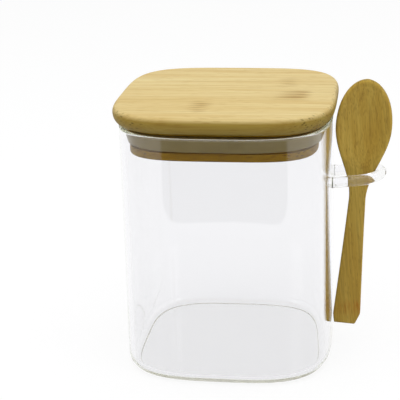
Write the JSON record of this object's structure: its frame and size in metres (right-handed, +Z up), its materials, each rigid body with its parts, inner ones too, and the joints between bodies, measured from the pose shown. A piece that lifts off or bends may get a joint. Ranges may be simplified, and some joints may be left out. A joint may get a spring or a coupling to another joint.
{
  "type": "glass storage jar",
  "caption": "Square clear glass storage jar with a bamboo lid sealed by a silicone ring, and a bamboo spoon hung in a glass loop on its side.",
  "frame": {"origin": "centre of the jar's flat base, on the surface that it stands on", "axes": "+Z up through the mouth; +X towards the wall that carries the loop and spoon; -Y is the side that the spoon's dished face looks to"},
  "size_m": [0.1306, 0.1046, 0.1381],
  "materials": {
    "clear_glass": "clear, smooth, fire-polished borosilicate",
    "bamboo_lid": "sanded laminated bamboo, satin",
    "grey_silicone": "milky grey silicone, satin",
    "bamboo_spoon": "sanded carbonised bamboo, matt"
  },
  "bodies": {
    "jar": {"glass_jar": "clear_glass", "spoon_loop": "clear_glass"},
    "lid": {"lid_board": "bamboo_lid", "lid_plug": "bamboo_lid", "seal_ring": "grey_silicone"},
    "spoon": {"spoon": "bamboo_spoon"}
  },
  "joints": [
    {"name": "lid_lift", "type": "slide", "parent": "jar", "child": "lid", "axis": [0, 0, 1], "range_m": [0, 0.04]},
    {"name": "spoon_lift", "type": "slide", "parent": "jar", "child": "spoon", "axis": [0.0745, 0, 0.9972], "range_m": [0, 0.1]}
  ]
}
